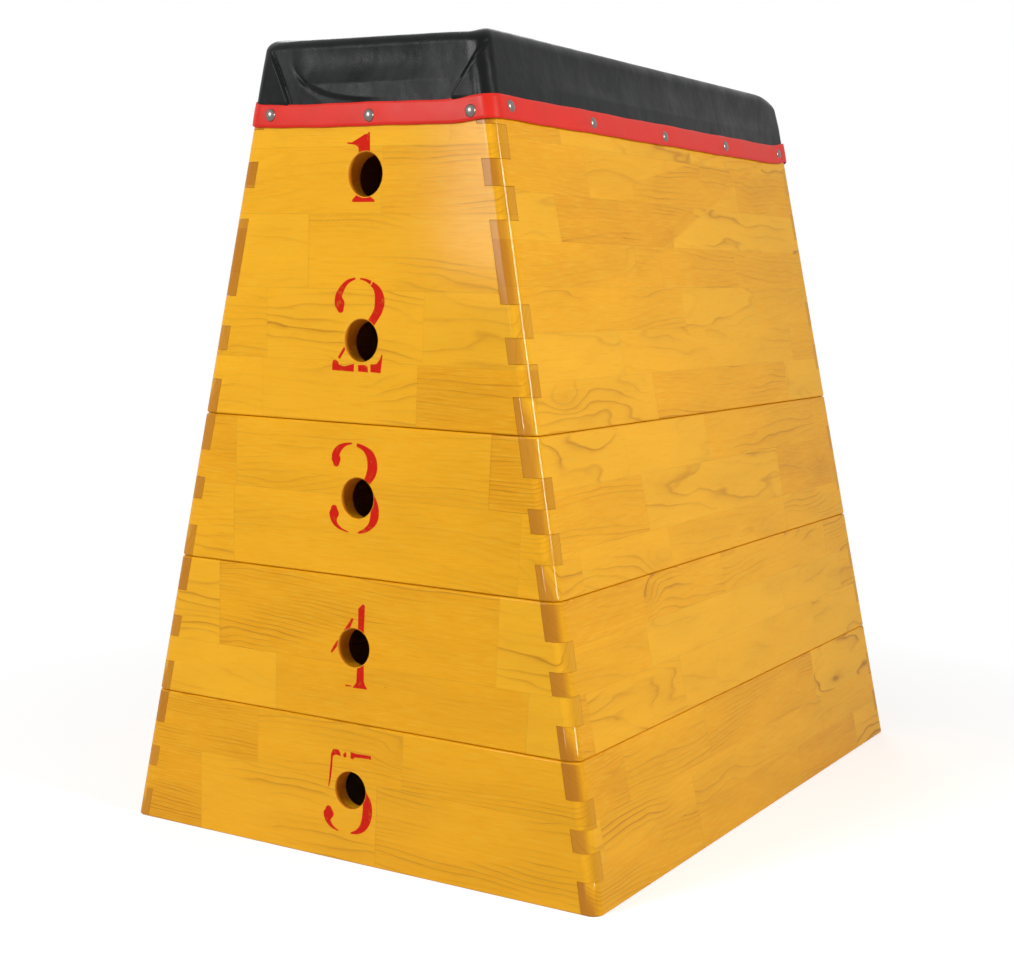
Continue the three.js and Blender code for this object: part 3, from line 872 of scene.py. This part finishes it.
def keepClear(grid, plain, normals):
    # Where boards lie behind the cover, its outer face stays clear of its inner one
    out = ((grid - plain) * normals[None]).sum(axis=-1)
    free = smoothStep(pad["boardTop"] - 1 * mm, pad["boardTop"] + 9 * mm, plain[..., 2])
    least = -0.55 * pad["skinThickness"] - pad["mostDip"] * free
    return grid + normals[None] * np.maximum(least - out, 0)[..., None]


def padCorners(grid):
    # The cover's corners are pulled down where its folds are gathered
    for end, sy in (("front", -1), ("back", 1)):
        for sx in (-1, 1):
            corner = np.array([sx * halfWidth(pad["rimHeight"]), sy * halfLength(pad["rimHeight"])])
            far = np.linalg.norm(grid[..., :2] - corner, axis=-1)
            high = smoothStep(pad["boardTop"], pad["rimHeight"], grid[..., 2])
            grid[..., 2] -= pad["cornerDrop"][end] * np.exp(-(far / pad["cornerReach"]) ** 2) * high


def padRims(grid, normals, rows):
    # The end rims lie a little lower than the long ones
    inset = np.array([inset for _, _, inset, _ in rows])[:, None]
    high = smoothStep(pad["boardTop"], pad["rimHeight"], grid[..., 2])
    high = high * np.exp(-(inset / pad["rimReach"]) ** 2)
    grid[..., 2] += high * (pad["sideRimLift"] * normals[:, 0] ** 2 - pad["endRimDrop"] * normals[:, 1] ** 2)


def addPad():
    radius = pad["boardRadius"] + pad["skinOut"]
    halfX = halfWidth(pad["skirtTop"], pad["skinOut"]) - radius
    halfY = halfLength(pad["skirtTop"], pad["skinOut"]) - radius
    columns = makeColumns(halfX, halfY, padSkin)
    rows = padProfile()
    plain, normals = padGrid(columns, rows)
    grid = keepClear(padCreases(plain, normals), plain, normals)
    padRims(grid, normals, rows)
    padCorners(grid)
    grid[-1, :, 0] = 0
    under, _ = padGrid(columns, undersideRows())
    mesh = gridMesh("pad_vinyl_cover", np.concatenate([under, grid]))
    mergeClose(mesh, 0.03 * mm)
    mesh.shade_smooth()
    cover = addPiece(mesh.name, mesh, blackVinyl, "top_section", ["pad_cover", "pad_foam"])
    print("pad cover:", len(mesh.polygons), "faces")


addPad()


# Band: a red strip over the lower edge of the cover, nailed on by its tacks
band = {
    "drop": 15 * mm,
    "height": 20.5 * mm,
    "gapUnder": 0.2 * mm,
    "thickness": 0.8 * mm,
    "softEdge": 0.3 * mm,
    "puff": 0.25 * mm,
    "endDrop": 1.9 * mm,
    "sideLift": 2.2 * mm,
    "cornerLift": 3.6 * mm,
    "backLift": 5.2 * mm,
    "leftLift": 1.1 * mm,
    "cornerReach": 30 * mm,
    "dimple": 0.35 * mm,
    "dimpleReach": 8 * mm,
    "wave": {"height": 0.25 * mm, "slow": 5.1, "quick": 13.7, "quickShare": 0.6},
    "columns": {"arcSteps": 12, "endZone": 20 * mm, "sideZone": 20 * mm, "fine": 2 * mm, "coarse": 3 * mm},
}

tackLook = {"radius": 5.7 * mm, "rise": 3.2 * mm, "sink": 0.35 * mm, "flatShare": 0.08,
            "segments": 24, "rings": 14}

# How far the hand-driven tacks that the photo shows stray from their row: along it, and up
tackStrays = {
    "tack_front_1": (-1.6 * mm, 0.9 * mm), "tack_front_2": (0.9 * mm, -1.5 * mm),
    "tack_front_3": (-0.9 * mm, -2.5 * mm), "tack_right_1": (2.4 * mm, 1.3 * mm),
    "tack_right_2": (0.9 * mm, -0.7 * mm), "tack_right_3": (3 * mm, -1.6 * mm),
    "tack_right_4": (2.6 * mm, -0.3 * mm), "tack_right_5": (3 * mm, 0),
}

outward = {"front": (0, -1, endSlope), "back": (0, 1, endSlope),
           "right": (1, 0, sideSlope), "left": (-1, 0, sideSlope)}


def bandShift(place, normal):
    # The strip runs lower round the ends than along the sides, and climbs to three of its corners
    halfX, halfY = halfWidth(place[2]), halfLength(place[2])

    def climb(lift, sx, sy):
        far = math.hypot(place[0] - sx * halfX, place[1] - sy * halfY)
        return lift * math.exp(-(far / band["cornerReach"]) ** 2)

    onEnd, onSide = normal[1] ** 2, normal[0] ** 2
    level = (climb(band["cornerLift"], 1, -1) - band["endDrop"]) * onEnd + band["sideLift"] * onSide
    return level + climb(band["backLift"], 1, 1) + climb(band["leftLift"], -1, -1)


def seatedTacks():
    # Each tack is driven home against the thin band and sits at the band's own height
    base = pad["skinOut"] + band["gapUnder"] + band["thickness"] + tackLook["rise"]
    seated = {}
    for node in sorted(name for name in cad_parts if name.startswith("tack_")):
        out = Vector(outward[node.split("_")[1]]).normalized()
        tip = max((vert.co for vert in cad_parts[node].data.vertices), key=out.dot)
        along, up = tackStrays.get(node, (0, 0))
        place = tip + Vector((0, 0, bandShift(tip, out)))
        if abs(out.x) > abs(out.y):
            place += Vector((0, along, up))
            beyond = (abs(place.x) - halfWidth(place.z)) / sideLean
        else:
            place += Vector((along, 0, up))
            beyond = (abs(place.y) - halfLength(place.z)) / endLean
        seated[node] = (place - out * (beyond - base), out)
    return seated


def addBand():
    top = pad["boardTop"] - band["drop"]
    foot = top - band["height"]
    columns = makeColumns(halfWidth(foot), halfLength(foot), band["columns"])
    inner = pad["skinOut"] + band["gapUnder"]
    outer = inner + band["thickness"]
    soft, wave = band["softEdge"], band["wave"]
    section = [(foot, inner), (foot, outer - soft), (foot + soft, outer)]
    section += [(foot + band["height"] * share, outer) for share in (0.15, 0.3, 0.45, 0.6, 0.75, 0.88)]
    section += [(top - soft, outer), (top, outer - soft), (top, inner), ((top + foot) / 2, inner)]
    tacks = [(np.array(tip), np.array(out)) for tip, out in seatedTacks().values()]
    rings = []
    for z, out in section:
        radius = pad["boardRadius"] + out
        ring, normals = ringPoints(columns, halfWidth(z, out), halfLength(z, out), radius, z)
        share = (z - foot) / band["height"]
        isOuter = out > inner + soft
        if isOuter:
            ring += normals * band["puff"] * math.sin(math.pi * min(1, max(0, share)))
        lift = np.array([bandShift(point, normal) for point, normal in zip(ring, normals)])
        around = ring[:, 0] * 9 + ring[:, 1] * 7
        slow = np.sin(around * wave["slow"] + share)
        quick = np.sin(around * wave["quick"] + 2 * share)
        ring[:, 2] += lift + wave["height"] * (slow + wave["quickShare"] * quick)
        if isOuter:
            for tip, way in tacks:
                near = np.exp(-(np.linalg.norm(ring - tip, axis=1) / band["dimpleReach"]) ** 2)
                ring -= np.outer(near * band["dimple"], way)
        rings.append(ring)
    mesh = gridMesh("red_vinyl_band", np.array(rings), closed=True)
    mergeClose(mesh, 0.01 * mm)
    mesh.shade_smooth()
    mesh.set_sharp_from_angle(angle=math.radians(60))
    addPiece(mesh.name, mesh, redVinyl, "top_section", ["edge_band"])
    print("band:", len(mesh.polygons), "faces")


addBand()


# What repeats is set out by geometry nodes: one head on every point, turned to face outwards

def setOut(name, places, buildHead, sizes, material):
    tree = bpy.data.node_groups.new(name, "GeometryNodeTree")
    tree.interface.new_socket("Geometry", in_out="OUTPUT", socket_type="NodeSocketGeometry")
    tree.interface.new_socket("Geometry", in_out="INPUT", socket_type="NodeSocketGeometry")
    sockets = {label: tree.interface.new_socket(label, in_out="INPUT", socket_type="NodeSocketFloat")
               for label in sizes}
    add = partial(addNode, tree)
    given = add("NodeGroupInput").outputs
    head = buildHead(add, given)
    points = add("GeometryNodeMeshToPoints", given["Geometry"])
    way = add("GeometryNodeInputNamedAttribute", {"Name": "outward"}, data_type="FLOAT_VECTOR")
    turn = add("FunctionNodeAlignRotationToVector", {"Vector": way}, axis="Z")
    copies = add("GeometryNodeInstanceOnPoints", {"Points": points, "Instance": head, "Rotation": turn})
    smooth = add("GeometryNodeSetShadeSmooth", {"Geometry": add("GeometryNodeRealizeInstances", copies)})
    add("NodeGroupOutput", add("GeometryNodeSetMaterial", {"Geometry": smooth, "Material": material}))

    mesh = bpy.data.meshes.new(name)
    mesh.from_pydata([tuple(place) for place, _ in places], [], [])
    ways = [value for _, way in places for value in way]
    mesh.attributes.new("outward", "FLOAT_VECTOR", "POINT").data.foreach_set("vector", ways)
    carrier = addObject(name, mesh)
    modifier = carrier.modifiers.new(name, "NODES")
    modifier.node_group = tree
    for label, value in sizes.items():
        modifier[sockets[label].identifier] = value
    result = bakeModifiers(carrier)
    bpy.data.objects.remove(carrier)
    return result


def domeHead(add, given):
    # Sphere whose upper half is lowered to the dome's rise and lower half pressed flat
    ball = add("GeometryNodeMeshUVSphere", {
        "Segments": tackLook["segments"], "Rings": tackLook["rings"], "Radius": given["radius"]})
    height = add("SeparateXYZ", add("GeometryNodeInputPosition")).outputs["Z"]
    share = add("Math DIVIDE", given["rise"], given["radius"])
    upper = add("Math MULTIPLY", add("Math MAXIMUM", height, 0), share)
    lower = add("Math MULTIPLY", add("Math MINIMUM", height, 0), tackLook["flatShare"])
    drop = add("Math SUBTRACT", add("Math ADD", upper, lower), height)
    return add("GeometryNodeSetPosition", {"Geometry": ball, "Offset": add("CombineXYZ", {"Z": drop})})


def addTacks():
    seated = seatedTacks()
    places = [(tip - out * (tackLook["rise"] + tackLook["sink"]), out) for tip, out in seated.values()]
    sizes = {"radius": tackLook["radius"], "rise": tackLook["rise"]}
    mesh = setOut("dome_tacks", places, domeHead, sizes, chrome)
    addPiece("dome_tacks", mesh, chrome, "top_section", list(seated))
    print("tacks:", len(places))


addTacks()

screwLook = {"radius": 4 * mm, "height": 1 * mm, "slotWidth": 1 * mm, "slotLength": 5 * mm, "sides": 20,
             "stand": 0.3 * mm, "postDepth": 47.3 * mm, "postWidth": 28 * mm, "topGap": 25 * mm,
             "footGap": 20 * mm, "stagger": 12 * mm}


def screwHead(add, given):
    # Flat head with a cross recess
    disc = add("GeometryNodeMeshCylinder", {
        "Vertices": screwLook["sides"], "Radius": given["radius"], "Depth": given["height"]})
    length, width, height = (screwLook[size] for size in ("slotLength", "slotWidth", "height"))
    bars = []
    for slot in ((length, width, height), (width, length, height)):
        bar = add("GeometryNodeMeshCube", {"Size": add("CombineXYZ", *slot)})
        bars.append(add("GeometryNodeTransform", {"Geometry": bar, "Translation": (0, 0, height * 0.5)}))
    cross = add("GeometryNodeMeshBoolean UNION", {"Mesh": bars})
    return add("GeometryNodeMeshBoolean DIFFERENCE", {"Mesh 1": disc, "Mesh 2": cross})


def screwPlaces(section):
    # Rows of screws up both inner faces of every post, clear of the locators
    face = screwLook["postDepth"]
    middle = face - screwLook["postWidth"] / 2
    seat = screwLook["height"] / 2 - screwLook["stand"]
    count = 4 if section == "top" else 2
    places = []
    for end, sy in (("front", -1), ("back", 1)):
        for side, sx in (("left", -1), ("right", 1)):
            low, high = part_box(f"{section}_post_{end}_{side}")
            foot = low.z + screwLook["footGap"]
            top = min(high.z, sectionSpans[section][1]) - screwLook["topGap"]
            wayX = Vector((-sx, 0, -sideSlope)).normalized()
            wayY = Vector((0, -sy, -endSlope)).normalized()
            for i in range(count):
                z = foot + (top - foot) * i / (count - 1)
                place = Vector((sx * halfWidth(z, -face), sy * halfLength(z, -middle), z))
                places.append((place - wayX * seat, wayX))
                z += screwLook["stagger"]
                place = Vector((sx * halfWidth(z, -middle), sy * halfLength(z, -face), z))
                places.append((place - wayY * seat, wayY))
    return places


def addScrews():
    sizes = {"radius": screwLook["radius"], "height": screwLook["height"]}
    for section, body in sectionBodies.items():
        mesh = setOut(f"{section}_post_screws", screwPlaces(section), screwHead, sizes, zinc)
        mesh.set_sharp_from_angle(angle=math.radians(30))
        addPiece(f"{section}_post_screws", mesh, zinc, body)
    print("screws set in", len(sectionBodies), "sections")


addScrews()

# The frame's own posts, deck and cleats keep their shapes and get their wood
woods = {"_post_": battenUpright, "deck_cleat_left": battenAlong, "deck_cleat_right": battenAlong,
         "deck_cleat_front": battenAcross, "deck_cleat_back": battenAcross, "deck_panel": plywood}
for name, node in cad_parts.items():
    for part, wood in woods.items():
        if part in name:
            node.data.materials.clear()
            node.data.materials.append(wood)

# Studio: pale floor, white surround, a tall key strip, two softboxes in front and one behind
studio = {"floorRadius": 30, "nearRadius": 0.5, "farRadius": 1.0, "floorColour": "#cfcfcf",
          "floorGlow": 0.55, "fillStrength": 0.31, "shadeInset": 15 * mm}


def directView(add):
    # 1 for what is seen straight, in a mirror or through glass
    path = add("LightPath").outputs
    seen = add("Math MAXIMUM", path["Is Camera Ray"], path["Is Glossy Ray"])
    return add("Math MAXIMUM", seen, path["Is Transmission Ray"])


def addFloor():
    # The part of the floor inside the box gets no glow of its own
    r = studio["floorRadius"]
    x, y = taper["baseWidth"] / 2 - studio["shadeInset"], taper["baseLength"] / 2 - studio["shadeInset"]
    corners = [(sx * wide, sy * long, 0) for wide, long in ((r, r), (x, y))
               for sx, sy in ((-1, -1), (1, -1), (1, 1), (-1, 1))]
    faces = [(i, (i + 1) % 4, 4 + (i + 1) % 4, 4 + i) for i in range(4)] + [(4, 5, 6, 7)]
    mesh = bpy.data.meshes.new("studio_floor")
    mesh.from_pydata(corners, [], faces)
    floor = addObject("studio_floor", mesh)

    material, add = newMaterial("paleStudioFloor")
    seen = directView(add)
    far = add("VectorMath LENGTH", add("TexCoord").outputs["Object"])
    far = add("MapRange", far, studio["nearRadius"], studio["farRadius"])
    far = add("Math MULTIPLY", far, seen)
    paint = add("BsdfDiffuse", linear(studio["floorColour"]))
    glow = add("Emission", {"Strength": add("Math MULTIPLY", seen, studio["floorGlow"])})
    white = add("Emission", {"Strength": 1.0})
    add("OutputMaterial", add("MixShader", far, add("AddShader", paint, glow), white))
    mesh.materials.append(material)
    shaded, add = newMaterial("shadedStudioFloor")
    add("OutputMaterial", add("BsdfDiffuse", linear(studio["floorColour"])))
    mesh.materials.append(shaded)
    mesh.polygons[4].material_index = 1


def setWorld():
    world = bpy.data.worlds.new("studio")
    bpy.context.scene.world = world
    world.use_nodes = True
    world.node_tree.nodes.clear()
    add = partial(addNode, world.node_tree)
    strength = add("MapRange", directView(add), 0, 1, studio["fillStrength"], 1)
    add("OutputWorld", add("Background", (1, 1, 1, 1), strength))


addCamera()
addFloor()
setWorld()
addLamp("keyStrip", (1.74, -0.46, 1.16), (0.2, -0.2, 0.5), (0.17, 0.74), 20, (1, 0.975, 0.92))
addLamp("sheenSoftbox", (-1.03, -2.54, 1.42), (0.1, -0.37, 0.65), (0.7, 0.8), 14, (1, 1, 1))
addLamp("highSoftbox", (-1.08, -2.79, 1.8), (0, -0.3, 0.6), (0.8, 0.5), 38, (1, 1, 1))
addLamp("backSoftbox", (-1.8, 2.6, 2.2), (0, 0, 0.45), (1.6, 1.6), 20, (1, 1, 1))
bpy.context.scene.view_settings.view_transform = "Standard"
